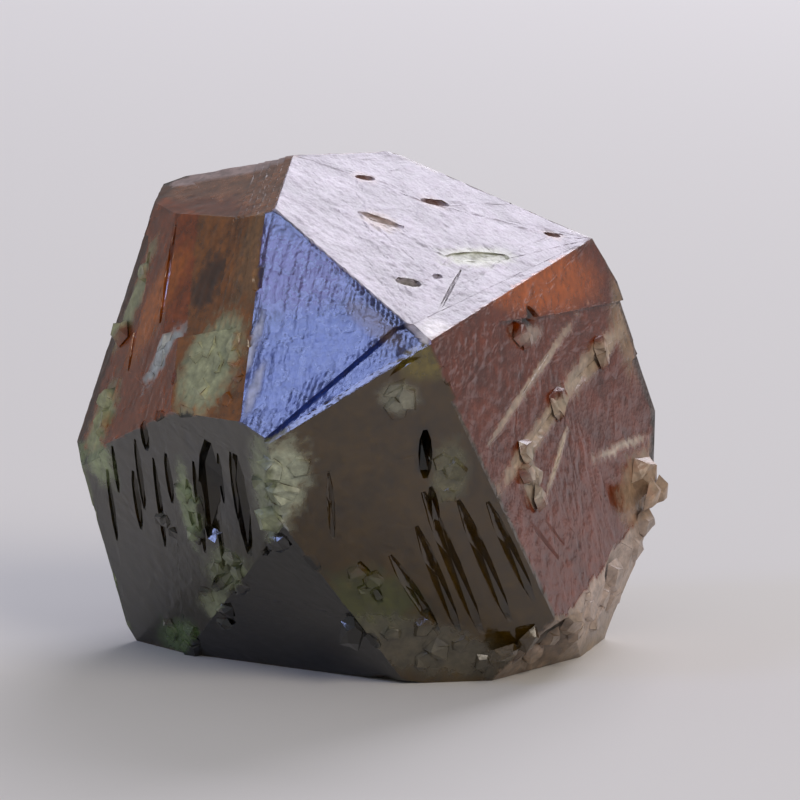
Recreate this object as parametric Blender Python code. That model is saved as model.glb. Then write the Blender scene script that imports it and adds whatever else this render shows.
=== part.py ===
# Grossular garnet crystal: one loose crystal, 20 mm across, resting on its flat base.
#
# The crystal is a block cut by its growth faces, mostly rhombs of the garnet dodecahedron.
# Terraces, etched grooves and chips are then cut into it, and the crust that grew on it is
# added, so that the whole is one closed solid. X runs to the right, Y to the back, Z up.

import math
import random
from typing import NamedTuple

import bmesh
import bpy
from mathutils import Matrix, Vector

MM = 0.001
NODE = "garnet_crystal"
COLLECTION = "grossular_garnet_crystal"
SEED = 3

# Centre of growth, from which the distance of every face is measured, in mm.
GROWTH_CENTRE = (0.0, 0.5, 8.5)
BLANK_SIDE = 60.0

# A crust is strewn with grains, each a blunt five-sided pyramid. Its top has this share of
# its foot's radius, it is this share of that radius tall, and its corners are uneven.
GRAIN_SIDES = 5
GRAIN_TOP = 0.6
GRAIN_HEIGHT = 0.5
GRAIN_WOBBLE = 0.13
GRAIN_TILT = 0.16
GRAIN_STRETCH = (0.8, 1.25)
GRAIN_RADIUS_RANGE = (0.8, 1.15)
GRAIN_LIFT = (-0.12, 0.04)
CRUST_COVER = 0.95
CRUST_LEAST = 3
GOLDEN_ANGLE = math.radians(137.5)
SPIRAL_JITTER = 0.3

# Icosphere subdivisions: a groove has 20 faces and a shell-shaped fracture 320.
GROOVE_DETAIL = 1
FRACTURE_DETAIL = 3


class Face(NamedTuple):
    """A growth face: where it looks and how far it is from the growth centre.

    An azimuth of 0 looks to the front (-Y) and 90 to the right (+X), in degrees.
    The distance is in mm.
    """

    azimuth: float
    elevation: float
    distance: float


FACES = {
    "crown": Face(55, 62, 6.05),
    "front_upper": Face(-26, 30, 7.35),
    "front_lower": Face(9, -20, 6.2),
    "front_right": Face(65, 12, 5.5),
    "left_inner": Face(-50, 25, 7.35),
    "left_outer": Face(-65, 19, 7.65),
    "left_shoulder": Face(-57, 68, 8.5),
    "left_lower": Face(-48, -21, 6.9),
    "left_heel": Face(-87, -14, 10.15),
    "foot_triangle": Face(-31, -37, 7.05),
    "right_foot": Face(72, -16, 8.45),
    "under_left": Face(-26, -74, 8.8),
    "under_right": Face(49, -41, 9.2),
    "back_crown": Face(-148, 76, 8.95),
    "back_shoulder": Face(158, 40, 9.05),
    "back_right": Face(124, 22, 10.9),
    "back_upper": Face(-171, 20, 7.4),
    "back_left": Face(-94, 18, 9.45),
    "back_right_lower": Face(154, -30, 10.2),
    "back_left_lower": Face(-140, -24, 10.8),
    "base": Face(0, -90, 8.5),
}


class Terrace(NamedTuple):
    """A part of a face that grew less far, as an outline on the face and a depth, in mm."""

    face: str
    outline: tuple
    depth: float


class Groove(NamedTuple):
    """An etched groove or pit, from start to end on a face, in mm."""

    face: str
    start: tuple
    end: tuple
    width: float
    depth: float


class Crust(NamedTuple):
    """An oval patch of grown-on grains: its centre and half sizes on a face, in mm, its
    turn in degrees, and the radius of a grain in mm."""

    face: str
    centre: tuple
    half_size: tuple
    turn: float
    grain: float


# How far a slab that lowers part of a face stands out over it, in mm.
CUT_CLEARANCE = 2.0

# Places on a face are (across, up the face) in mm from the foot of the growth centre on it.
RIGHT_LEDGE = ((-6.0, 0.2), (-0.9, 2.5), (3.5, 2.1), (12.0, 1.6), (12.0, -9.0), (-6.0, -9.0))
TERRACES = (
    Terrace("front_upper", ((-1.2, -5.0), (3.6, 0.45), (6.5, 1.6), (6.5, -5.0)), 0.16),
    Terrace("front_upper", ((0.6, -5.0), (4.1, -0.55), (6.5, 0.4), (6.5, -5.0)), 0.34),
    Terrace("left_shoulder", ((-9.0, -4.0), (-3.4, -4.0), (-5.2, 3.0), (-9.0, 3.0)), 0.3),
    Terrace("left_outer", ((-9.0, -6.0), (-4.2, -6.0), (-4.0, 1.0), (-5.2, 3.4), (-9.0, 3.4)), 0.22),
    Terrace("front_right", RIGHT_LEDGE, 0.2),
    Terrace("front_right", ((6.4, -9.0), (5.2, -3.4), (7.9, -0.8), (12.0, 0.2), (12.0, -9.0)), 0.3),
    Terrace("back_upper", ((-11.0, -9.0), (-11.0, 1.5), (-3.5, 6.5), (1.5, -9.0)), 0.22),
    Terrace("back_upper", ((-11.0, -9.0), (-11.0, -2.0), (-5.0, 2.4), (-1.2, -9.0)), 0.45),
    Terrace("back_right_lower", ((-9.0, -6.0), (-9.0, 2.0), (-1.0, 1.2), (1.8, -6.0)), 0.28),
    Terrace("back_left_lower", ((0.4, -8.0), (2.4, 1.5), (8.0, 5.0), (8.0, -8.0)), 0.3),
)

# Growth layers end one after another along the crown's left edge and, as upright stripes,
# on the left inner face. Each list runs from the highest layer to the lowest.
LAYER_HEIGHT = 0.06
SHOULDER_LAYERS = 6
SHOULDER_LAYER_PITCH = 0.3
INNER_LAYERS = 5
INNER_LAYER_PITCH = 0.34
LAYER_REACH = 8.0
SHOULDER_LAYER_LINE = ((-4.2, 3.0), (1.6, -2.3))
INNER_LAYER_LINE = ((-0.9, 6.0), (0.5, 0.6))

# Upright grooves of the etched lower left face lean with its right edge. Their tops lie
# between two heights on the face, and their widths and depths vary by a share.
RIB_COUNT = 11
RIB_FIRST = -6.2
RIB_PITCH = 0.72
RIB_LEAN = 15.0
RIB_TOP = (0.2, 2.6)
RIB_LENGTH = (2.0, 4.6)
RIB_WIDTH = 0.34
RIB_DEPTH = 0.22
RIB_SHARE = (0.7, 1.3)

GROOVES = (
    # Crown: round pits and one long crack.
    Groove("crown", (-3.2, -0.4), (-2.6, -0.6), 0.62, 0.22),
    Groove("crown", (-1.4, -0.5), (-1.1, -0.5), 0.3, 0.14),
    Groove("crown", (1.2, 5.1), (1.8, 4.9), 0.4, 0.18),
    Groove("crown", (2.8, 3.3), (3.6, 2.9), 0.5, 0.2),
    Groove("crown", (6.4, 0.4), (6.9, 0.2), 0.36, 0.16),
    Groove("crown", (-0.9, 3.3), (0.1, 2.2), 0.55, 0.12),
    Groove("crown", (0.5, -0.3), (-3.6, -2.3), 0.16, 0.1),
    Groove("crown", (0.3, 0.3), (3.2, -0.3), 0.7, 0.1),
    # Left inner and outer faces: the brown hollow, the upright ridges beside it, the cleft.
    Groove("left_inner", (-2.3, 3.0), (-1.7, 0.9), 0.5, 0.24),
    Groove("left_outer", (-3.4, 4.2), (-2.1, 0.6), 0.42, 0.22),
    Groove("left_outer", (-2.0, 4.3), (-0.7, 0.2), 0.34, 0.2),
    Groove("left_outer", (-4.8, 3.2), (-3.4, -1.4), 0.38, 0.16),
    # Lower left face: the large dark pit and the hollows round it.
    Groove("left_lower", (-0.1, 2.5), (-1.6, -1.3), 1.25, 0.75),
    Groove("left_lower", (1.2, 2.4), (0.2, -1.7), 0.8, 0.4),
    Groove("left_lower", (-3.3, 2.8), (-3.6, 1.8), 0.5, 0.25),
    Groove("left_lower", (-0.4, -2.0), (-2.4, -3.4), 0.7, 0.35),
    # Lower front face: the dark clefts, then the ridged zone beside the right edge.
    Groove("front_lower", (0.5, 2.9), (0.6, 1.2), 0.55, 0.85),
    Groove("front_lower", (0.8, 0.8), (1.1, -0.7), 0.4, 0.5),
    Groove("front_lower", (-0.5, -1.6), (1.5, -5.0), 0.5, 0.26),
    Groove("front_lower", (0.3, -0.4), (2.2, -5.1), 0.5, 0.3),
    Groove("front_lower", (0.4, 1.0), (3.0, -5.3), 0.6, 0.36),
    Groove("front_lower", (1.6, 0.6), (3.9, -4.8), 0.55, 0.34),
    Groove("front_lower", (2.6, 0.4), (4.6, -3.9), 0.5, 0.28),
    Groove("front_lower", (3.5, 0.6), (5.3, -3.3), 0.45, 0.24),
    Groove("front_lower", (-2.6, 1.6), (-2.3, -1.2), 0.3, 0.14),
    Groove("front_lower", (-1.4, -2.0), (-0.6, -3.6), 0.5, 0.3),
    # Right face: two slanting fissures, short slivers and the ridges under them.
    Groove("front_right", (6.0, 2.0), (-3.2, -1.3), 0.3, 0.26),
    Groove("front_right", (5.2, 1.3), (-2.6, -1.6), 0.24, 0.2),
    Groove("front_right", (9.6, 0.8), (2.6, -0.9), 0.85, 0.34),
    Groove("front_right", (4.4, -0.4), (-3.2, -2.9), 0.7, 0.34),
    Groove("front_right", (3.3, -1.7), (0.6, -3.6), 0.26, 0.3),
    Groove("front_right", (5.2, -3.2), (10.4, -3.1), 0.2, 0.18),
    Groove("front_right", (-2.0, -3.3), (1.5, -6.6), 0.5, 0.3),
    Groove("front_right", (-0.9, -3.4), (2.3, -6.4), 0.45, 0.26),
    Groove("front_right", (0.6, -3.8), (3.4, -6.2), 0.4, 0.22),
    Groove("front_right", (1.4, 2.6), (2.2, 2.0), 0.5, 0.4),
    # Faces behind: long etch lines and a few pits.
    Groove("back_upper", (2.0, 7.0), (6.2, -4.0), 0.4, 0.22),
    Groove("back_upper", (4.0, 7.2), (7.4, -2.0), 0.34, 0.2),
    Groove("back_upper", (-6.6, 0.6), (-5.2, -0.4), 0.9, 0.45),
    Groove("back_upper", (0.8, -1.6), (1.6, -2.8), 0.8, 0.4),
    Groove("back_right_lower", (2.0, 2.5), (4.2, -2.5), 0.6, 0.35),
    Groove("back_left_lower", (-4.0, 2.0), (-1.0, -3.0), 0.6, 0.35),
    Groove("back_left", (-1.0, 3.6), (0.4, -1.8), 0.4, 0.22),
    Groove("back_shoulder", (-2.6, 1.0), (2.2, -1.8), 0.35, 0.2),
    Groove("right_foot", (1.4, 1.6), (6.4, -0.6), 0.5, 0.3),
)

CRUSTS = (
    # Pale green crust on the left side and along the lower front edge.
    Crust("left_inner", (-0.1, -0.6), (1.0, 1.5), -8, 0.53),
    Crust("left_inner", (1.2, -0.9), (0.5, 1.0), 0, 0.43),
    Crust("left_outer", (-1.4, -0.2), (0.32, 1.0), -22, 0.53),
    Crust("left_outer", (-4.9, 1.4), (0.4, 1.6), -18, 0.5),
    Crust("left_outer", (-4.6, -3.0), (0.7, 1.1), -20, 0.53),
    Crust("left_lower", (-2.3, -0.2), (0.36, 1.35), -12, 0.55),
    Crust("left_lower", (-3.9, -1.1), (0.16, 0.5), 30, 0.38),
    Crust("left_lower", (-1.2, -2.6), (1.1, 0.7), 20, 0.45),
    Crust("left_lower", (-2.6, -4.2), (0.9, 0.7), 0, 0.43),
    Crust("left_lower", (-5.0, -5.7), (1.1, 0.6), 20, 0.55),
    Crust("left_lower", (2.2, 0.6), (0.5, 1.9), -12, 0.5),
    Crust("front_lower", (-4.2, 0.9), (0.7, 1.6), -8, 0.53),
    # Granular crust under the front, and crumbs in the fissures of the right face.
    Crust("front_lower", (0.7, -5.3), (2.8, 0.8), -15, 0.55),
    Crust("front_lower", (-1.1, -2.6), (0.6, 0.5), 0, 0.43),
    Crust("front_lower", (1.4, 1.4), (0.45, 1.0), 0, 0.5),
    Crust("front_lower", (-0.4, 4.2), (0.5, 0.5), 0, 0.58),
    Crust("front_right", (6.0, 0.1), (3.4, 0.3), 14, 0.45),
    Crust("front_right", (0.4, -1.7), (3.4, 0.26), 18, 0.43),
    Crust("front_right", (1.3, 1.8), (1.0, 0.24), 0, 0.43),
    Crust("front_right", (-0.4, -2.9), (0.5, 0.7), 0, 0.43),
    # Crumbled, broken ground at the lower right and round the right-hand bump.
    Crust("front_right", (9.3, -4.8), (1.6, 1.0), 10, 0.72),
    Crust("right_foot", (3.0, -4.6), (2.6, 1.0), 10, 0.62),
    Crust("right_foot", (7.0, -2.2), (1.2, 1.4), -30, 0.62),
    Crust("under_right", (1.6, -1.6), (1.8, 1.0), 0, 0.58),
    # Crust behind.
    Crust("back_upper", (-4.6, -5.2), (1.8, 1.1), 10, 0.58),
    Crust("back_left_lower", (3.8, -2.6), (1.2, 1.6), 0, 0.58),
    Crust("back_right_lower", (3.6, -1.0), (1.4, 0.9), 0, 0.58),
)

# Shell-shaped fractures: a ball of this radius dips this deep into the face, in mm.
FRACTURES = (
    ("right_foot", (4.5, -3.4), 3.2, 0.42),
    ("right_foot", (8.6, -3.2), 2.4, 0.4),
    ("under_right", (2.4, -1.8), 3.0, 0.4),
    ("front_right", (10.4, -1.6), 2.2, 0.3),
    ("back_right", (-1.6, 2.6), 3.0, 0.42),
    ("back_right_lower", (-5.4, -3.0), 3.6, 0.5),
    ("back_left_lower", (-6.0, 2.6), 3.4, 0.45),
    ("left_heel", (-1.0, -4.4), 2.6, 0.35),
)

# Chips along worn edges. The edges of the crown stay sharp.
SHARP_FACE = "crown"
CHIP_SPACING = 3.2
CHIP_PLACE = (0.2, 0.8)
CHIP_RADIUS = (0.25, 0.5)
CHIP_STRETCH = 1.6
CHIP_INSET = 0.55
CHIP_WOBBLE = 0.12
TOUCHING = 0.01

GARNET_COLOUR = (0.24, 0.085, 0.02, 1.0)
GARNET_ROUGHNESS = 0.12
GARNET_IOR = 1.74
GARNET_TRANSMISSION = 0.6


def facing(face):
    """The outward unit vector of a face."""
    azimuth = math.radians(face.azimuth)
    elevation = math.radians(face.elevation)
    level = math.cos(elevation)
    return Vector((math.sin(azimuth) * level, -math.cos(azimuth) * level, math.sin(elevation)))


def face_frame(name):
    """Matrix of a face: X across it, Y up it, Z outward, at the foot of the growth centre."""
    face = FACES[name]
    outward = facing(face)
    upward = Vector((0, 1, 0)) if abs(outward.z) > 0.999 else Vector((0, 0, 1))
    across = upward.cross(outward).normalized()
    rise = outward.cross(across)
    frame = Matrix((across, rise, outward)).transposed().to_4x4()
    frame.translation = (Vector(GROWTH_CENTRE) + outward * face.distance) * MM
    return frame


def on_face(name, place, height=0.0):
    """Matrix of a place on a face, given in mm."""
    return face_frame(name) @ Matrix.Translation((place[0] * MM, place[1] * MM, height * MM))


def add_blank(mesh):
    """A cube cut by every growth face."""
    centre = Matrix.Translation(Vector(GROWTH_CENTRE) * MM)
    bmesh.ops.create_cube(mesh, size=BLANK_SIDE * MM, matrix=centre)
    for name, face in FACES.items():
        cut = bmesh.ops.bisect_plane(
            mesh,
            geom=mesh.verts[:] + mesh.edges[:] + mesh.faces[:],
            plane_co=face_frame(name).translation,
            plane_no=facing(face),
            clear_outer=True,
        )
        rim = [item for item in cut["geom_cut"] if isinstance(item, bmesh.types.BMEdge)]
        bmesh.ops.edgeloop_fill(mesh, edges=rim)


def add_slab(mesh, frame, outline, low, high):
    """A straight-sided slab over an outline, between two heights of a frame, in mm."""
    corners = [mesh.verts.new(frame @ Vector((x * MM, y * MM, low * MM))) for x, y in outline]
    floor = mesh.faces.new(corners)
    lift = frame.to_3x3() @ Vector((0, 0, (high - low) * MM))
    raised = bmesh.ops.extrude_face_region(mesh, geom=[floor], use_keep_orig=True)["geom"]
    tops = [item for item in raised if isinstance(item, bmesh.types.BMVert)]
    bmesh.ops.translate(mesh, verts=tops, vec=lift)


def add_spindle(mesh, groove):
    """A pointed, many-sided spindle along a groove, to be cut out of the face."""
    start = Vector(groove.start)
    run = Vector(groove.end) - start
    middle = start + run / 2
    turn = Matrix.Rotation(math.atan2(run.y, run.x), 4, "Z")
    half_length = run.length / 2 + groove.width / 2
    size = Matrix.Diagonal((half_length * MM, groove.width / 2 * MM, groove.depth * MM, 1))
    frame = on_face(groove.face, middle) @ turn @ size
    bmesh.ops.create_icosphere(mesh, subdivisions=GROOVE_DETAIL, radius=1.0, matrix=frame)


def shake(verts, reach, chance):
    """Moves each vertex by up to this reach along each axis."""
    for vert in verts:
        vert.co += Vector([chance.uniform(-reach, reach) for _ in range(3)])


def add_grain(mesh, frame, radius, chance):
    """An uneven, blunt grain of about this radius in mm, its foot sunk in the face."""
    spin = Matrix.Rotation(chance.uniform(0, math.tau), 4, "Z")
    tilt = Matrix.Rotation(chance.uniform(-GRAIN_TILT, GRAIN_TILT), 4, "X")
    stretch = chance.uniform(*GRAIN_STRETCH)
    size = Matrix.Diagonal((radius * stretch * MM, radius / stretch * MM, radius * MM, 1))
    grain = bmesh.ops.create_cone(
        mesh,
        cap_ends=True,
        segments=GRAIN_SIDES,
        radius1=1.0,
        radius2=GRAIN_TOP,
        depth=GRAIN_HEIGHT,
        matrix=frame @ spin @ tilt @ size,
    )
    shake(grain["verts"], GRAIN_WOBBLE * radius * MM, chance)


def add_crust(mesh, crust, chance):
    """Grains strewn over the oval patch of a crust."""
    wide, tall = crust.half_size
    turn = Matrix.Rotation(math.radians(crust.turn), 4, "Z")
    patch = on_face(crust.face, crust.centre) @ turn
    count = max(CRUST_LEAST, round(CRUST_COVER * wide * tall / crust.grain**2))
    for index in range(count):
        # Turning by the golden angle spreads the grains evenly over the oval.
        reach = math.sqrt((index + 0.5) / count)
        angle = index * GOLDEN_ANGLE + chance.uniform(-SPIRAL_JITTER, SPIRAL_JITTER)
        radius = crust.grain * chance.uniform(*GRAIN_RADIUS_RANGE)
        lift = radius * chance.uniform(*GRAIN_LIFT)
        spot = Vector((reach * math.cos(angle) * wide, reach * math.sin(angle) * tall, lift))
        add_grain(mesh, patch @ Matrix.Translation(spot * MM), radius, chance)


def add_layers(mesh, face, line, count, pitch):
    """Slabs that lower a face layer by layer, to the right of its line as the line runs."""
    start, end = (Vector(place) for place in line)
    along = (end - start).normalized()
    aside = Vector((along.y, -along.x))
    for index in range(count):
        shift = aside * pitch * index
        far = aside * LAYER_REACH
        outline = (start + shift, end + shift, end + far, start + far)
        add_slab(mesh, face_frame(face), outline, -LAYER_HEIGHT * (index + 1), CUT_CLEARANCE)


def add_ribs(mesh, chance):
    """Etched upright grooves over the lower left face."""
    lean = math.radians(RIB_LEAN)
    down = Vector((-math.sin(lean), -math.cos(lean)))
    for index in range(RIB_COUNT):
        top = Vector((RIB_FIRST + RIB_PITCH * index, chance.uniform(*RIB_TOP)))
        length = chance.uniform(*RIB_LENGTH)
        width = RIB_WIDTH * chance.uniform(*RIB_SHARE)
        depth = RIB_DEPTH * chance.uniform(*RIB_SHARE)
        end = top + down * length
        add_spindle(mesh, Groove("left_lower", tuple(top), tuple(end), width, depth))


def add_fracture(mesh, face, place, radius, dip):
    """A ball that dips into a face, to leave a shell-shaped hollow."""
    frame = on_face(face, place, radius - dip)
    radius *= MM
    bmesh.ops.create_icosphere(mesh, subdivisions=FRACTURE_DETAIL, radius=radius, matrix=frame)


def add_edge_chips(mesh, blank, chance):
    """Small shallow bites out of the blank's worn edges, longer along the edge."""
    crown = face_frame(SHARP_FACE).inverted()
    for edge in blank.edges:
        tail, head = (vert.co for vert in edge.verts)
        on_crown = max(abs((crown @ point).z) for point in (tail, head)) < TOUCHING * MM
        on_base = max(tail.z, head.z) < TOUCHING * MM
        if on_crown or on_base:
            continue
        run = head - tail
        count = int(run.length / MM / CHIP_SPACING)
        for index in range(count):
            middle = tail + run * (index + chance.uniform(*CHIP_PLACE)) / count
            radius = chance.uniform(*CHIP_RADIUS)
            outward = (middle - Vector(GROWTH_CENTRE) * MM).normalized()
            middle += outward * radius * CHIP_INSET * MM
            size = Matrix.Diagonal((radius * MM, radius * MM, radius * CHIP_STRETCH * MM, 1))
            frame = Matrix.Translation(middle) @ run.to_track_quat("Z", "Y").to_matrix().to_4x4()
            chip = bmesh.ops.create_icosphere(
                mesh, subdivisions=GROOVE_DETAIL, radius=1.0, matrix=frame @ size
            )
            shake(chip["verts"], CHIP_WOBBLE * radius * MM, chance)


def mesh_object(name, mesh, collection):
    """An object that holds a finished mesh, with its faces turned outward."""
    bmesh.ops.recalc_face_normals(mesh, faces=mesh.faces[:])
    data = bpy.data.meshes.new(name)
    mesh.to_mesh(data)
    thing = bpy.data.objects.new(name, data)
    collection.objects.link(thing)
    return thing


def tool_object(name, mesh, collection):
    """A shape that cuts or joins the crystal and isn't itself part of it."""
    tool = mesh_object(name, mesh, collection)
    tool.hide_render = True
    tool.display_type = "WIRE"
    return tool


def combine(body, tool, operation):
    """Cuts a tool out of the body, or joins it on."""
    modifier = body.modifiers.new(tool.name, "BOOLEAN")
    modifier.operation = operation
    modifier.solver = "EXACT"
    modifier.use_self = True
    modifier.object = tool


def islands(mesh):
    """The mesh's separate shells, each a set of faces."""
    waiting = set(mesh.faces)
    found = []
    while waiting:
        edge_of_search = [waiting.pop()]
        shell = set(edge_of_search)
        while edge_of_search:
            face = edge_of_search.pop()
            near = {other for edge in face.edges for other in edge.link_faces}
            fresh = near & waiting
            waiting -= fresh
            shell |= fresh
            edge_of_search.extend(fresh)
        found.append(shell)
    return found


def settle(body):
    """Applies the body's modifiers and keeps the outer shell alone."""
    view = bpy.context.evaluated_depsgraph_get()
    data = bpy.data.meshes.new_from_object(body.evaluated_get(view))
    mesh = bmesh.new()
    mesh.from_mesh(data)
    shells = sorted(islands(mesh), key=len)
    for shell in shells[:-1]:
        bmesh.ops.delete(mesh, geom=list(shell), context="FACES")
    mesh.to_mesh(data)
    body.modifiers.clear()
    body.data = data


def stand_on_origin(body):
    """Moves the crystal's mesh so that the middle of its box's floor is the origin."""
    places = [vert.co for vert in body.data.vertices]
    low = Vector([min(place[axis] for place in places) for axis in range(3)])
    high = Vector([max(place[axis] for place in places) for axis in range(3)])
    middle = Vector(((low.x + high.x) / 2, (low.y + high.y) / 2, low.z))
    body.data.transform(Matrix.Translation(-middle))


def garnet():
    """The colour and gloss of brown grossular."""
    material = bpy.data.materials.new("grossular_garnet")
    material.use_nodes = True
    shader = material.node_tree.nodes["Principled BSDF"]
    shader.inputs["Base Color"].default_value = GARNET_COLOUR
    shader.inputs["Roughness"].default_value = GARNET_ROUGHNESS
    shader.inputs["Metallic"].default_value = 0.0
    shader.inputs["IOR"].default_value = GARNET_IOR
    shader.inputs["Transmission Weight"].default_value = GARNET_TRANSMISSION
    return material


def new_collection(name):
    """A collection in the scene."""
    collection = bpy.data.collections.new(name)
    bpy.context.scene.collection.children.link(collection)
    return collection


def build():
    """Makes the crystal and the shapes that carve it."""
    for thing in list(bpy.data.objects):
        bpy.data.objects.remove(thing, do_unlink=True)
    parts = new_collection(COLLECTION)
    cutters = new_collection("cutters")
    chance = random.Random(SEED)

    blank = bmesh.new()
    add_blank(blank)
    crystal = mesh_object(NODE, blank, parts)

    terraces = bmesh.new()
    for terrace in TERRACES:
        frame = face_frame(terrace.face)
        add_slab(terraces, frame, terrace.outline, -terrace.depth, CUT_CLEARANCE)
    combine(crystal, tool_object("terrace_cutter", terraces, cutters), "DIFFERENCE")

    fractures = bmesh.new()
    for fracture in FRACTURES:
        add_fracture(fractures, *fracture)
    combine(crystal, tool_object("fracture_cutter", fractures, cutters), "DIFFERENCE")

    layers = bmesh.new()
    add_layers(layers, "left_shoulder", SHOULDER_LAYER_LINE, SHOULDER_LAYERS, SHOULDER_LAYER_PITCH)
    add_layers(layers, "left_inner", INNER_LAYER_LINE, INNER_LAYERS, INNER_LAYER_PITCH)
    combine(crystal, tool_object("layer_cutter", layers, cutters), "DIFFERENCE")

    grooves = bmesh.new()
    for groove in GROOVES:
        add_spindle(grooves, groove)
    add_ribs(grooves, chance)
    add_edge_chips(grooves, blank, chance)
    combine(crystal, tool_object("groove_cutter", grooves, cutters), "DIFFERENCE")

    grains = bmesh.new()
    for crust in CRUSTS:
        add_crust(grains, crust, chance)
    combine(crystal, tool_object("crust_grains", grains, cutters), "UNION")

    ground = bmesh.new()
    beyond = Matrix.Translation((0, 0, BLANK_SIDE / 2 * MM))
    bmesh.ops.create_cube(ground, size=BLANK_SIDE * MM, matrix=face_frame("base") @ beyond)
    combine(crystal, tool_object("ground_cutter", ground, cutters), "DIFFERENCE")

    settle(crystal)
    stand_on_origin(crystal)
    crystal.data.materials.clear()
    crystal.data.materials.append(garnet())


build()
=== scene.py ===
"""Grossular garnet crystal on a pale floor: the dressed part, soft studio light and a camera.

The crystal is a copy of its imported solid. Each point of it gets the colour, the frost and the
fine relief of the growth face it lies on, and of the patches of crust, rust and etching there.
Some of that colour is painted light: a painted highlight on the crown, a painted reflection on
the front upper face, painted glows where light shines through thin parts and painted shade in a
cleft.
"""

import logging
import math
from dataclasses import dataclass, field
from enum import Enum

import bmesh
import bpy
import numpy as np
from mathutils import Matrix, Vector, noise


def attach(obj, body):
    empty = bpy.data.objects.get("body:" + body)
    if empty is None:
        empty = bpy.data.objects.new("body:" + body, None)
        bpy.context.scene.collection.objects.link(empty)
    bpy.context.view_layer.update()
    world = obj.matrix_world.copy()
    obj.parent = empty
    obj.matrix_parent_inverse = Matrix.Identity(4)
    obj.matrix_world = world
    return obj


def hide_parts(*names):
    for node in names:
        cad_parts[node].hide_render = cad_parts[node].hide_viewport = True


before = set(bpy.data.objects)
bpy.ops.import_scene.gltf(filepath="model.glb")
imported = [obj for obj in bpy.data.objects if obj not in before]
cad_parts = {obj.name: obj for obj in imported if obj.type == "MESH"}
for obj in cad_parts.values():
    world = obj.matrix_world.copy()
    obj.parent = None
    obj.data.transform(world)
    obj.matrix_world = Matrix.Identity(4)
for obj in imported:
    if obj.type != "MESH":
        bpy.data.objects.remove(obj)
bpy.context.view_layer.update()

LOG = logging.getLogger("garnet")
MM = 0.001
NODE = "garnet_crystal"
PAINT_AND_LIGHT_LAYER = "body_colour_and_painted_light"
# The colour layer holds the body colour together with painted highlight, reflection, glows and
# shade.
FROST_LAYER = "frost"


def linear(hex_code: str) -> tuple[float, float, float]:
    """Linear colour of an sRGB hex code."""
    parts = [int(hex_code[i : i + 2], 16) / 255 for i in (1, 3, 5)]
    return tuple(p / 12.92 if p <= 0.04045 else ((p + 0.055) / 1.055) ** 2.4 for p in parts)


def rgba(hex_code: str) -> tuple[float, float, float, float]:
    """Linear colour of an sRGB hex code, with full alpha."""
    return (*linear(hex_code), 1.0)


def away(azimuth: float, elevation: float) -> Vector:
    """The unit vector that looks a way.

    Args:
        azimuth: Degrees round from the front (-Y) towards the right (+X).
        elevation: Degrees above the horizon.

    Returns:
        The vector, in the part's frame.
    """
    turn, rise = math.radians(azimuth), math.radians(elevation)
    level = math.cos(rise)
    return Vector((math.sin(turn) * level, -math.cos(turn) * level, math.sin(rise)))


def node(
    tree: bpy.types.NodeTree,
    kind: str,
    inputs: dict | None = None,
    **settings: str | bool,
) -> bpy.types.Node:
    """Adds a shader node.

    Args:
        tree: The node tree it goes in.
        kind: The node's Blender type name.
        inputs: Socket name or number to a value, or to an output socket to link from.
        **settings: Properties of the node.

    Returns:
        The new node.
    """
    made = tree.nodes.new(kind)
    for name, value in settings.items():
        setattr(made, name, value)
    for key, value in (inputs or {}).items():
        if isinstance(value, bpy.types.NodeSocket):
            tree.links.new(value, made.inputs[key])
        else:
            made.inputs[key].default_value = value
    return made


def add_object(name: str, data: bpy.types.ID) -> bpy.types.Object:
    """A new object in the scene, for a mesh, a lamp or a lens."""
    thing = bpy.data.objects.new(name, data)
    bpy.context.scene.collection.objects.link(thing)
    return thing


class Side(Enum):
    """The growth faces, by where they are on the crystal."""

    CROWN = "crown"
    FRONT_UPPER = "front_upper"
    FRONT_LOWER = "front_lower"
    FRONT_RIGHT = "front_right"
    LEFT_INNER = "left_inner"
    LEFT_OUTER = "left_outer"
    LEFT_SHOULDER = "left_shoulder"
    LEFT_LOWER = "left_lower"
    LEFT_HEEL = "left_heel"
    FOOT_TRIANGLE = "foot_triangle"
    RIGHT_FOOT = "right_foot"
    UNDER_LEFT = "under_left"
    UNDER_RIGHT = "under_right"
    BACK_CROWN = "back_crown"
    BACK_SHOULDER = "back_shoulder"
    BACK_RIGHT = "back_right"
    BACK_UPPER = "back_upper"
    BACK_LEFT = "back_left"
    BACK_RIGHT_LOWER = "back_right_lower"
    BACK_LEFT_LOWER = "back_left_lower"
    BASE = "base"


@dataclass(frozen=True)
class Face:
    """A growth face: where it looks in degrees, its distance from the growth centre in mm, its
    colour just under the surface, partly painted light on the crown and the front upper face, its
    frost from 0, glassy, to 1, etched white, and how strongly it is striped by growth."""

    azimuth: float
    elevation: float
    distance: float
    colour: str
    frost: float
    striped: float = 0.0

    def normal(self) -> Vector:
        """The outward unit vector."""
        return away(self.azimuth, self.elevation)

    def axes(self) -> np.ndarray:
        """Rows: across the face, up it and outward."""
        out = self.normal()
        up = Vector((0, 1, 0)) if abs(out.z) > 0.999 else Vector((0, 0, 1))
        across = up.cross(out).normalized()
        return np.array([across, out.cross(across), out])


GROWTH_CENTRE_Z = 8.5
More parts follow.
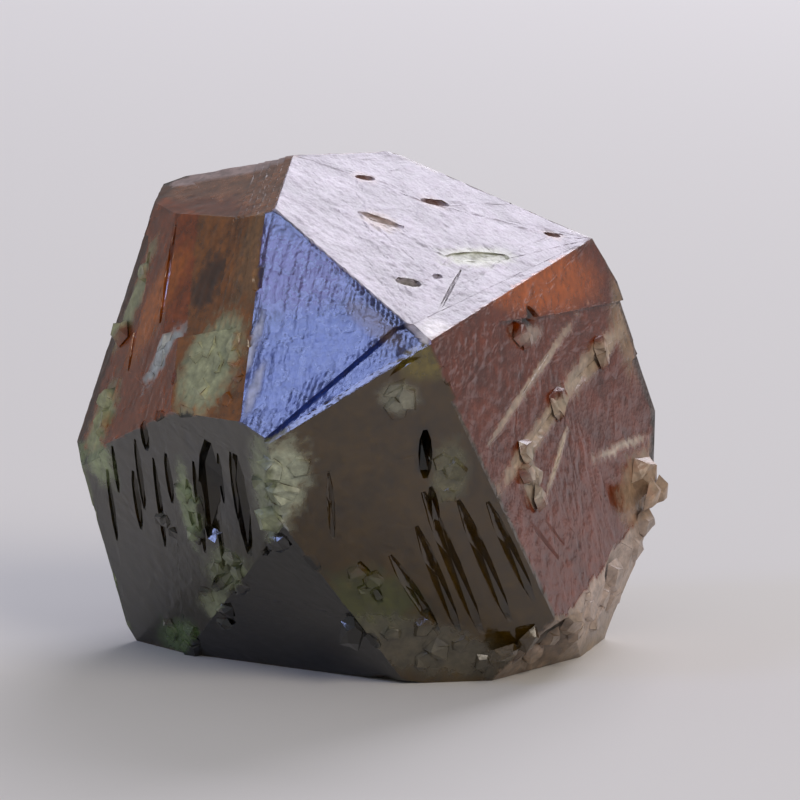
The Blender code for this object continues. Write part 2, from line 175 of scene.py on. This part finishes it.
# A step to another part of the same noise, so that two uses of it don't agree.
ELSEWHERE = Vector((9.0, 0.0, 0.0))
FACES = {
    # The crown's pale lavender is its etched frost and partly a painted highlight of the lamp
    # above and behind.
    Side.CROWN: Face(55, 62, 6.05, "#b3acbb", 0.8),
    # The front upper face's blue is a painted reflection of a cool light over a dark body colour.
    Side.FRONT_UPPER: Face(-26, 30, 7.35, "#2f3568", 0.2, 1.3),
    Side.FRONT_LOWER: Face(9, -20, 6.2, "#503a08", 0.1),
    Side.FRONT_RIGHT: Face(65, 12, 5.5, "#7e3204", 0.14),
    Side.LEFT_INNER: Face(-50, 25, 7.35, "#94581c", 0.26, 1.0),
    Side.LEFT_OUTER: Face(-65, 19, 7.65, "#9a4810", 0.22, 0.6),
    Side.LEFT_SHOULDER: Face(-57, 68, 8.5, "#8a5a3c", 0.35),
    Side.LEFT_LOWER: Face(-48, -21, 6.9, "#2c260c", 0.12),
    Side.LEFT_HEEL: Face(-87, -14, 10.15, "#6f7a48", 0.4),
    Side.FOOT_TRIANGLE: Face(-31, -37, 7.05, "#14110c", 0.06),
    Side.RIGHT_FOOT: Face(72, -16, 8.45, "#8d7862", 0.6),
    Side.UNDER_LEFT: Face(-26, -74, 8.8, "#2a2013", 0.3),
    Side.UNDER_RIGHT: Face(49, -41, 9.2, "#806c5a", 0.6),
    Side.BACK_CROWN: Face(-148, 76, 8.95, "#a08a86", 0.6),
    Side.BACK_SHOULDER: Face(158, 40, 9.05, "#5a3518", 0.25, 0.5),
    Side.BACK_RIGHT: Face(124, 22, 10.9, "#4b2a12", 0.2),
    Side.BACK_UPPER: Face(-171, 20, 7.4, "#4b2d14", 0.22, 0.5),
    Side.BACK_LEFT: Face(-94, 18, 9.45, "#5c3417", 0.25, 0.5),
    Side.BACK_RIGHT_LOWER: Face(154, -30, 10.2, "#33210f", 0.25),
    Side.BACK_LEFT_LOWER: Face(-140, -24, 10.8, "#3a2712", 0.25),
    Side.BASE: Face(0, -90, 8.5, "#4b3a26", 0.5),
}
SIDES = list(FACES)
# The crown and the front upper face bear no crust, so their planes give the growth centre.
BARE_SIDES = (Side.CROWN, Side.FRONT_UPPER)


@dataclass(frozen=True)
class Patch:
    """A soft-edged oval of another look: its centre and half sizes on its face in mm, its
    turn in degrees, its colour and frost, and how far it replaces what is there."""

    centre: tuple[float, float]
    half: tuple[float, float]
    turn: float
    colour: str
    frost: float
    strength: float = 0.85

    def reach(self, local: np.ndarray) -> np.ndarray:
        """How far out of the oval each place on the face is: 1 on its edge.

        Args:
            local: Places in the face's own axes, in mm.

        Returns:
            One number for each place.
        """
        turn = math.radians(self.turn)
        x, y = local[:, 0] - self.centre[0], local[:, 1] - self.centre[1]
        u = (x * math.cos(turn) + y * math.sin(turn)) / self.half[0]
        v = (y * math.cos(turn) - x * math.sin(turn)) / self.half[1]
        return np.hypot(u, v)


PATCHES = {
    # Crown: rust spots in its pits, a brown patch, the greenish inclusion, the white corner,
    # which is etched and partly a painted highlight.
    Side.CROWN: (
        Patch((1.5, 5.0), (0.45, 0.3), 0, "#7c4426", 0.3),
        Patch((3.2, 3.1), (0.5, 0.3), -20, "#7c4426", 0.3),
        Patch((6.7, 0.3), (0.4, 0.25), -20, "#8a5433", 0.3),
        Patch((-0.5, 2.7), (0.7, 0.6), 0, "#a5876f", 0.5, 0.7),
        Patch((1.7, 0.0), (1.7, 0.55), -8, "#a7ad8c", 0.5, 0.8),
        Patch((-2.9, -0.5), (0.5, 0.3), -15, "#8f8578", 0.3, 0.8),
        # The white corner: etched, and partly a painted highlight.
        Patch((-4.5, -3.1), (0.9, 0.6), 30, "#ece8ee", 0.95, 0.9),
        Patch((-1.7, -1.4), (2.3, 0.14), 27, "#8e8790", 0.5, 0.7),
    ),
    # Front upper face: a painted reflection of the cool upper left lamp, purple along the crown,
    # a dark strip at the left, blue below, and pale streaks that are painted highlights.
    Side.FRONT_UPPER: (
        Patch((-1.5, 2.2), (3.2, 1.3), -12, "#5d3f80", 0.22, 0.85),
        Patch((1.0, -1.2), (2.6, 2.0), 30, "#2743a0", 0.22, 0.85),
        Patch((-2.2, -1.6), (0.6, 3.4), -8, "#2b2c40", 0.2, 0.85),
        # Painted highlights: the pale blue-white streaks.
        Patch((-1.3, -0.9), (0.16, 1.5), -6, "#c5cbe8", 0.7, 0.9),
        Patch((-0.8, -2.0), (0.18, 0.9), -6, "#c5cbe8", 0.7, 0.8),
        Patch((2.8, 0.6), (1.2, 0.35), -30, "#7b6550", 0.3, 0.7),
    ),
    # Left side: crusts, the brown hollow, the orange band (its body colour brightened into a
    # painted glow of light shining through) and the pale strip.
    Side.LEFT_INNER: (
        Patch((-0.2, -0.7), (1.3, 1.8), -8, "#a3aa84", 0.85, 0.9),
        Patch((-2.1, 2.0), (0.6, 1.1), -8, "#4a2a15", 0.2),
        Patch((0.3, 3.4), (1.2, 2.0), 0, "#8e6a42", 0.35, 0.7),
    ),
    Side.LEFT_OUTER: (
        # The orange band: body colour and partly a painted glow.
        Patch((-3.0, 1.3), (0.8, 2.2), -20, "#d87414", 0.16),
        Patch((-5.2, 1.3), (0.5, 2.0), -18, "#9aa57c", 0.8),
        Patch((-1.3, -0.2), (0.45, 1.2), -22, "#b3c0c0", 0.85),
        Patch((-4.7, -3.0), (0.9, 1.5), -20, "#93a072", 0.8),
    ),
    Side.LEFT_SHOULDER: (
        Patch((-3.0, -2.0), (2.6, 1.2), 0, "#7a3d22", 0.3, 0.8),
    ),
    Side.LEFT_LOWER: (
        Patch((-2.3, -0.2), (0.42, 1.6), -12, "#87956a", 0.75),
        Patch((-0.4, 0.6), (0.7, 1.9), 20, "#0b0906", 0.05, 0.95),
        Patch((2.3, 1.0), (0.7, 2.2), -12, "#8d9474", 0.8, 0.8),
        Patch((-1.2, -2.6), (1.3, 0.9), 20, "#77805a", 0.7, 0.7),
        Patch((-2.4, -4.2), (1.0, 0.6), 0, "#98a07c", 0.8, 0.7),
        Patch((-5.2, -5.9), (1.3, 0.7), 20, "#5f7a45", 0.5, 0.8),
        Patch((-6.6, 1.2), (0.8, 1.3), 0, "#93a072", 0.7, 0.8),
    ),
    # Lower front: crust at the left edge, a yellow painted glow under the apex, clefts with
    # painted shade in the near-black one, bottom crust.
    Side.FRONT_LOWER: (
        Patch((-4.2, 1.0), (0.9, 1.8), -8, "#a8ae96", 0.85),
        Patch((-4.4, -0.8), (0.5, 0.7), 0, "#b9c3d6", 0.85),
        # Painted glow: yellow under the apex.
        Patch((0.3, 5.5), (0.9, 0.7), 0, "#8a7a2c", 0.2, 0.8),
        Patch((-0.4, 4.2), (0.6, 0.55), 0, "#8f8f7c", 0.6, 0.8),
        # Painted shade: the near-black cleft.
        Patch((0.55, 2.2), (0.25, 0.8), 0, "#070504", 0.05, 0.95),
        Patch((1.4, 1.3), (0.6, 1.2), 0, "#6f6f52", 0.5, 0.7),
        Patch((-1.0, -3.6), (1.6, 1.2), -20, "#56602a", 0.2, 0.7),
        Patch((0.7, -5.3), (3.2, 1.0), -15, "#5a5648", 0.6, 0.8),
    ),
    # Right face: orange triangle under the crown (its body colour brightened into a painted glow
    # of light shining through the thin edge), two crumbly fissures, the broken edge.
    Side.FRONT_RIGHT: (
        # Painted glow over the orange body colour under the crown.
        Patch((2.6, 3.4), (4.6, 1.1), -8, "#dc6c10", 0.12, 0.95),
        Patch((1.7, 2.3), (0.4, 0.3), 0, "#0c0805", 0.05, 0.95),
        Patch((1.5, 1.7), (1.1, 0.3), 0, "#a99c8e", 0.75, 0.7),
        Patch((1.4, 0.3), (4.7, 0.16), 19, "#b5a692", 0.8, 0.8),
        Patch((6.2, 0.1), (3.6, 0.4), 14, "#b0a08a", 0.85, 0.8),
        Patch((0.6, -1.6), (3.7, 0.34), 18, "#b0a08a", 0.85, 0.8),
        Patch((2.0, -2.6), (1.6, 0.14), 35, "#c9bda8", 0.85, 0.8),
        Patch((7.6, -3.1), (2.6, 0.12), 0, "#d0c5b4", 0.85, 0.8),
        Patch((-0.4, -2.9), (0.6, 0.9), 0, "#bdb6a4", 0.8, 0.7),
        Patch((9.8, 1.2), (1.3, 2.0), 0, "#a58a66", 0.45, 0.7),
        Patch((9.0, -4.8), (2.4, 1.3), 10, "#b09a80", 0.8, 0.8),
    ),
    Side.RIGHT_FOOT: (
        Patch((4.0, -3.6), (4.0, 2.0), 10, "#b7a49a", 0.8, 0.7),
    ),
}


@dataclass(frozen=True)
class GarnetFinish:
    """Grossular: glassy where it grew, matt where etching has pitted it, brown by what its
    inside absorbs. Red passes and blue is taken up within a few millimetres."""

    ior: float = 1.74
    absorbed: str = "#e4bf52"
    density: float = 700.0
    clear_transmission: float = 0.55
    opaque_frost: float = 0.7
    glassy: float = 0.09
    etched: float = 0.55
    roughness_spread: float = 0.18
    mottle_mm: float = 9 / 35
    grit_mm: float = 0.15
    bump_mm: float = 0.03
    bump_strength: float = 0.6

    def material(self) -> bpy.types.Material:
        """The shader. Growth and etching left the fine relief, so the bump follows the frost."""
        made = bpy.data.materials.new("grossular_garnet")
        made.use_nodes = True
        tree = made.node_tree
        tree.nodes.clear()
        paint = node(tree, "ShaderNodeAttribute", attribute_name=PAINT_AND_LIGHT_LAYER)
        frost = node(tree, "ShaderNodeAttribute", attribute_name=FROST_LAYER).outputs["Fac"]
        place = node(tree, "ShaderNodeTexCoord").outputs["Object"]
        mottle = node(tree, "ShaderNodeTexNoise", {
            "Vector": place, "Scale": 1 / (self.mottle_mm * MM), "Detail": 6.0, "Roughness": 0.65,
        }).outputs["Fac"]
        grit = node(tree, "ShaderNodeTexVoronoi", {
            "Vector": place, "Scale": 1 / (self.grit_mm * MM),
        }).outputs["Distance"]
        shade = node(tree, "ShaderNodeMapRange", {
            "Value": mottle, "From Min": 0.3, "From Max": 0.7, "To Min": 0.7, "To Max": 1.3,
        }).outputs["Result"]
        colour = node(tree, "ShaderNodeVectorMath", {0: paint.outputs["Color"], 1: shade},
                      operation="MULTIPLY").outputs[0]
        gloss = node(tree, "ShaderNodeMapRange", {
            "Value": frost, "To Min": self.glassy, "To Max": self.etched,
        }).outputs["Result"]
        uneven = node(tree, "ShaderNodeMath", {
            0: mottle, 1: self.roughness_spread, 2: -self.roughness_spread / 2,
        }, operation="MULTIPLY_ADD").outputs[0]
        rough = node(tree, "ShaderNodeMath", {0: gloss, 1: uneven}, operation="ADD",
                     use_clamp=True).outputs[0]
        clear = node(tree, "ShaderNodeMapRange", {
            "Value": frost, "From Max": self.opaque_frost,
            "To Min": self.clear_transmission, "To Max": 0.0,
        }).outputs["Result"]
        relief = node(tree, "ShaderNodeMath", {0: mottle, 1: grit}, operation="ADD").outputs[0]
        height = node(tree, "ShaderNodeMath", {0: relief, 1: frost},
                      operation="MULTIPLY").outputs[0]
        bump = node(tree, "ShaderNodeBump", {
            "Height": height, "Strength": self.bump_strength, "Distance": self.bump_mm * MM,
        }).outputs["Normal"]
        shader = node(tree, "ShaderNodeBsdfPrincipled", {
            "Base Color": colour, "Roughness": rough, "IOR": self.ior,
            "Transmission Weight": clear, "Normal": bump,
        }).outputs[0]
        inside = node(tree, "ShaderNodeVolumeAbsorption", {
            "Color": rgba(self.absorbed), "Density": self.density,
        }).outputs[0]
        node(tree, "ShaderNodeOutputMaterial", {"Surface": shader, "Volume": inside})
        return made


@dataclass(frozen=True)
class PaperFinish:
    """Pale card, matt because its fibres lie open."""

    colour: str = "#dedcda"
    roughness: float = 0.9

    def material(self) -> bpy.types.Material:
        """The plain shader of the floor."""
        made = bpy.data.materials.new("pale_paper")
        made.use_nodes = True
        shader = made.node_tree.nodes["Principled BSDF"]
        shader.inputs["Base Color"].default_value = rgba(self.colour)
        shader.inputs["Roughness"].default_value = self.roughness
        return made


@dataclass
class Crystal:
    """The one grown crystal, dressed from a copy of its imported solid. Sizes are in mm."""

    front_edge: float = 0.235
    back_edge: float = 0.4
    splits: int = 7
    relief: float = 0.035
    least_relief: float = 0.3
    smooth_face_relief: float = 0.03
    frost_power: float = 1.6
    stripe: float = 0.012
    stripe_pitch: float = 0.42
    stripe_waver: float = 5.0
    waver_per_mm: float = 0.9
    swirl_per_mm: float = 0.5
    fleck_per_mm: float = 3.2
    fleck_fading: float = 0.8
    fleck_lacunarity: float = 2.1
    fleck_octaves: int = 4
    patch_edge: float = 1.25
    patch_blur: float = 0.5
    patch_unevenness: float = 0.35
    patch_mottle: float = 0.4
    patch_mottle_range: tuple[float, float] = (0.4, 1.8)
    cloud_mottle: float = 0.35
    fleck_mottle: float = 0.3
    mottle_range: tuple[float, float] = (0.3, 2.0)
    frost_mottle: float = 0.3
    stripe_fade: float = 0.6
    sharp_angle: float = 24.0
    finish: GarnetFinish = field(default_factory=GarnetFinish)

    def longest(self, edge: bmesh.types.BMEdge) -> float:
        """How long an edge may stay, in mm: the front half carries finer relief."""
        front = edge.verts[0].co.y + edge.verts[1].co.y < 0
        return self.front_edge if front else self.back_edge

    def refine(self, data: bpy.types.Mesh) -> None:
        """Splits long edges until the mesh can carry fine relief."""
        mesh = bmesh.new()
        mesh.from_mesh(data)
        bmesh.ops.triangulate(mesh, faces=mesh.faces[:])
        for _ in range(self.splits):
            long = [edge for edge in mesh.edges if edge.calc_length() > self.longest(edge) * MM]
            if not long:
                break
            bmesh.ops.subdivide_edges(mesh, edges=long, cuts=1)
            wide = [face for face in mesh.faces if len(face.verts) > 3]
            bmesh.ops.triangulate(mesh, faces=wide)
        mesh.to_mesh(data)
        mesh.free()

    def centre(self, points: np.ndarray) -> np.ndarray:
        """The growth centre, from how far the bare faces reach.

        Args:
            points: The mesh's points, in mm.

        Returns:
            The growth centre, in mm.
        """
        rows, reach = [], []
        for side in BARE_SIDES:
            face = FACES[side]
            out = np.array(face.normal())
            rows.append(out[:2])
            reach.append((points @ out).max() - face.distance - out[2] * GROWTH_CENTRE_Z)
        return np.array([*np.linalg.solve(np.array(rows), np.array(reach)), GROWTH_CENTRE_Z])

    def nearest_faces(self, points: np.ndarray, centre: np.ndarray) -> np.ndarray:
        """The number of the growth face that each point lies on or nearest to.

        Args:
            points: The mesh's points, in mm.
            centre: The growth centre, in mm.

        Returns:
            One place in SIDES for each point.
        """
        outs = np.array([face.normal() for face in FACES.values()])
        distances = np.array([face.distance for face in FACES.values()])
        return ((points - centre) @ outs.T - distances).argmax(axis=1)

    def lay_patches(
        self,
        side: Side,
        local: np.ndarray,
        fleck: np.ndarray,
        colours: np.ndarray,
        frost: np.ndarray,
    ) -> tuple[np.ndarray, np.ndarray]:
        """Lays the patches of one face over its own look.

        Args:
            side: The face.
            local: The face's points in its own axes, in mm.
            fleck: Fine noise at each point.
            colours: The colour of each point.
            frost: The frost of each point.

        Returns:
            The new colours and frost.
        """
        for patch in PATCHES.get(side, ()):
            radius = patch.reach(local) + self.patch_unevenness * fleck
            cover = np.clip((self.patch_edge - radius) / self.patch_blur, 0, 1) * patch.strength
            mottled = (1 + self.patch_mottle * fleck)[:, None].clip(*self.patch_mottle_range)
            tint = np.array(linear(patch.colour)) * mottled
            colours = colours + (tint - colours) * cover[:, None]
            frost = frost + (patch.frost - frost) * cover
        return colours, frost

    def dress(self, data: bpy.types.Mesh) -> None:
        """Gives every point the colour, frost and relief of its place."""
        count = len(data.vertices)
        points = np.zeros(count * 3, np.float32)
        data.vertices.foreach_get("co", points)
        points = points.reshape(-1, 3).astype(float) / MM
        centre = self.centre(points)
        nearest = self.nearest_faces(points, centre)
        waver = np.array([noise.noise(Vector(p) * self.waver_per_mm) for p in points])
        swirl = np.array([noise.noise(Vector(p) * self.swirl_per_mm + ELSEWHERE) for p in points])
        octaves = (self.fleck_fading, self.fleck_lacunarity, self.fleck_octaves)
        fleck = np.array([noise.fractal(Vector(p) * self.fleck_per_mm, *octaves) for p in points])
        colours = np.array([linear(face.colour) for face in FACES.values()])[nearest]
        mottle = 1 + self.cloud_mottle * waver + self.fleck_mottle * fleck
        colours *= mottle[:, None].clip(*self.mottle_range)
        frost = np.array([face.frost for face in FACES.values()])[nearest]
        frost *= 1 + self.frost_mottle * fleck
        stripes = np.zeros(count)
        for number, (side, face) in enumerate(FACES.items()):
            mask = nearest == number
            local = (points[mask] - centre) @ face.axes().T
            phase = local[:, 0] * math.tau / self.stripe_pitch + self.stripe_waver * swirl[mask]
            stripes[mask] = np.sin(phase) * face.striped * (self.stripe_fade + swirl[mask])
            colours[mask], frost[mask] = self.lay_patches(
                side, local, fleck[mask], colours[mask], frost[mask]
            )
        frost = frost.clip(0, 1)
        smooth = nearest == SIDES.index(Side.FRONT_UPPER)
        least = np.where(smooth, self.smooth_face_relief, self.least_relief)
        lift = self.relief * fleck * (least + frost**self.frost_power) + self.stripe * stripes
        lift[nearest == SIDES.index(Side.BASE)] = 0
        normals = np.zeros(count * 3, np.float32)
        data.vertices.foreach_get("normal", normals)
        points += normals.reshape(-1, 3) * lift[:, None]
        points[:, 2] = points[:, 2].clip(0, None)
        data.vertices.foreach_set("co", (points * MM).astype(np.float32).ravel())
        painted = np.c_[colours.clip(0, 1), np.ones(count)].astype(np.float32)
        paint = data.attributes.new(PAINT_AND_LIGHT_LAYER, "FLOAT_COLOR", "POINT")
        paint.data.foreach_set("color", painted.ravel())
        mark = data.attributes.new(FROST_LAYER, "FLOAT", "POINT")
        mark.data.foreach_set("value", frost.astype(np.float32))

    def build(self) -> bpy.types.Object:
        """Makes the dressed crystal in place of its solid."""
        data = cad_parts[NODE].data.copy()
        self.refine(data)
        self.dress(data)
        data.materials.clear()
        data.materials.append(self.finish.material())
        data.set_sharp_from_angle(angle=math.radians(self.sharp_angle))
        thing = add_object("garnet_crystal_dressed", data)
        for polygon in data.polygons:
            polygon.use_smooth = True
        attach(thing, "root")
        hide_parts(NODE)
        LOG.info("%s: %d triangles", thing.name, len(data.polygons))
        return thing


@dataclass(frozen=True)
class Lamp:
    """A square soft box: where it stands, seen from the crystal, in degrees and metres, its
    side in metres, its power in watts and its colour."""

    name: str
    azimuth: float
    elevation: float
    distance: float
    size: float
    watts: float
    colour: str

    def build(self, aim: Vector) -> None:
        """Adds the lamp, turned to the aim."""
        data = bpy.data.lights.new(self.name, "AREA")
        data.shape = "SQUARE"
        data.size = self.size
        data.energy = self.watts
        data.color = linear(self.colour)
        thing = add_object(self.name, data)
        outward = away(self.azimuth, self.elevation)
        thing.location = aim + outward * self.distance
        thing.rotation_euler = outward.to_track_quat("Z", "Y").to_euler()
        LOG.info("lamp %s", self.name)


@dataclass
class Studio:
    """A pale floor, soft light and the camera. Lengths are in metres, the lens in mm."""

    elevation: float = 10.0
    distance: float = 0.170
    aim: tuple[float, float, float] = (0.00084, -0.00158, 0.00904)
    lens_mm: float = 228.7
    nearest_seen: float = 0.01
    floor_half_side: float = 4.0
    room_colour: str = "#d9dbe0"
    room_strength: float = 0.42
    paper: PaperFinish = field(default_factory=PaperFinish)
    lamps: tuple[Lamp, ...] = (
        Lamp("top_back_softbox", 157, 36, 0.6, 0.4, 2.1, "#f6f3ff"),
        Lamp("upper_left_softbox", -62, 43, 0.6, 0.1, 0.3, "#a9bcff"),
        Lamp("right_fill", 40, 40, 0.7, 0.3, 1.6, "#fff3e2"),
    )

    def build_floor(self) -> None:
        """Adds the floor, which isn't part of the object."""
        mesh = bmesh.new()
        bmesh.ops.create_grid(mesh, x_segments=1, y_segments=1, size=self.floor_half_side)
        data = bpy.data.meshes.new("floor")
        mesh.to_mesh(data)
        mesh.free()
        data.materials.append(self.paper.material())
        add_object("floor", data)

    def build_room(self) -> None:
        """Adds the even light of a pale room."""
        world = bpy.data.worlds.new("soft_room")
        world.use_nodes = True
        sky = world.node_tree.nodes["Background"]
        sky.inputs["Color"].default_value = rgba(self.room_colour)
        sky.inputs["Strength"].default_value = self.room_strength
        bpy.context.scene.world = world

    def build_camera(self, aim: Vector) -> None:
        """Adds the camera at the photograph's viewing angle."""
        lens = bpy.data.cameras.new("camera")
        lens.lens = self.lens_mm
        lens.clip_start = self.nearest_seen
        camera = add_object("camera", lens)
        outward = away(0, self.elevation)
        camera.location = aim + outward * self.distance
        camera.rotation_euler = outward.to_track_quat("Z", "Y").to_euler()
        bpy.context.scene.camera = camera
        bpy.context.scene.view_settings.view_transform = "Standard"

    def build(self) -> None:
        """Adds everything that isn't the part."""
        aim = Vector(self.aim)
        for lamp in self.lamps:
            lamp.build(aim)
        self.build_floor()
        self.build_room()
        self.build_camera(aim)


def main() -> None:
    """Builds the crystal and its stage."""
    logging.basicConfig(level=logging.INFO, format="%(message)s")
    Crystal().build()
    Studio().build()


if __name__ == "__main__":
    main()
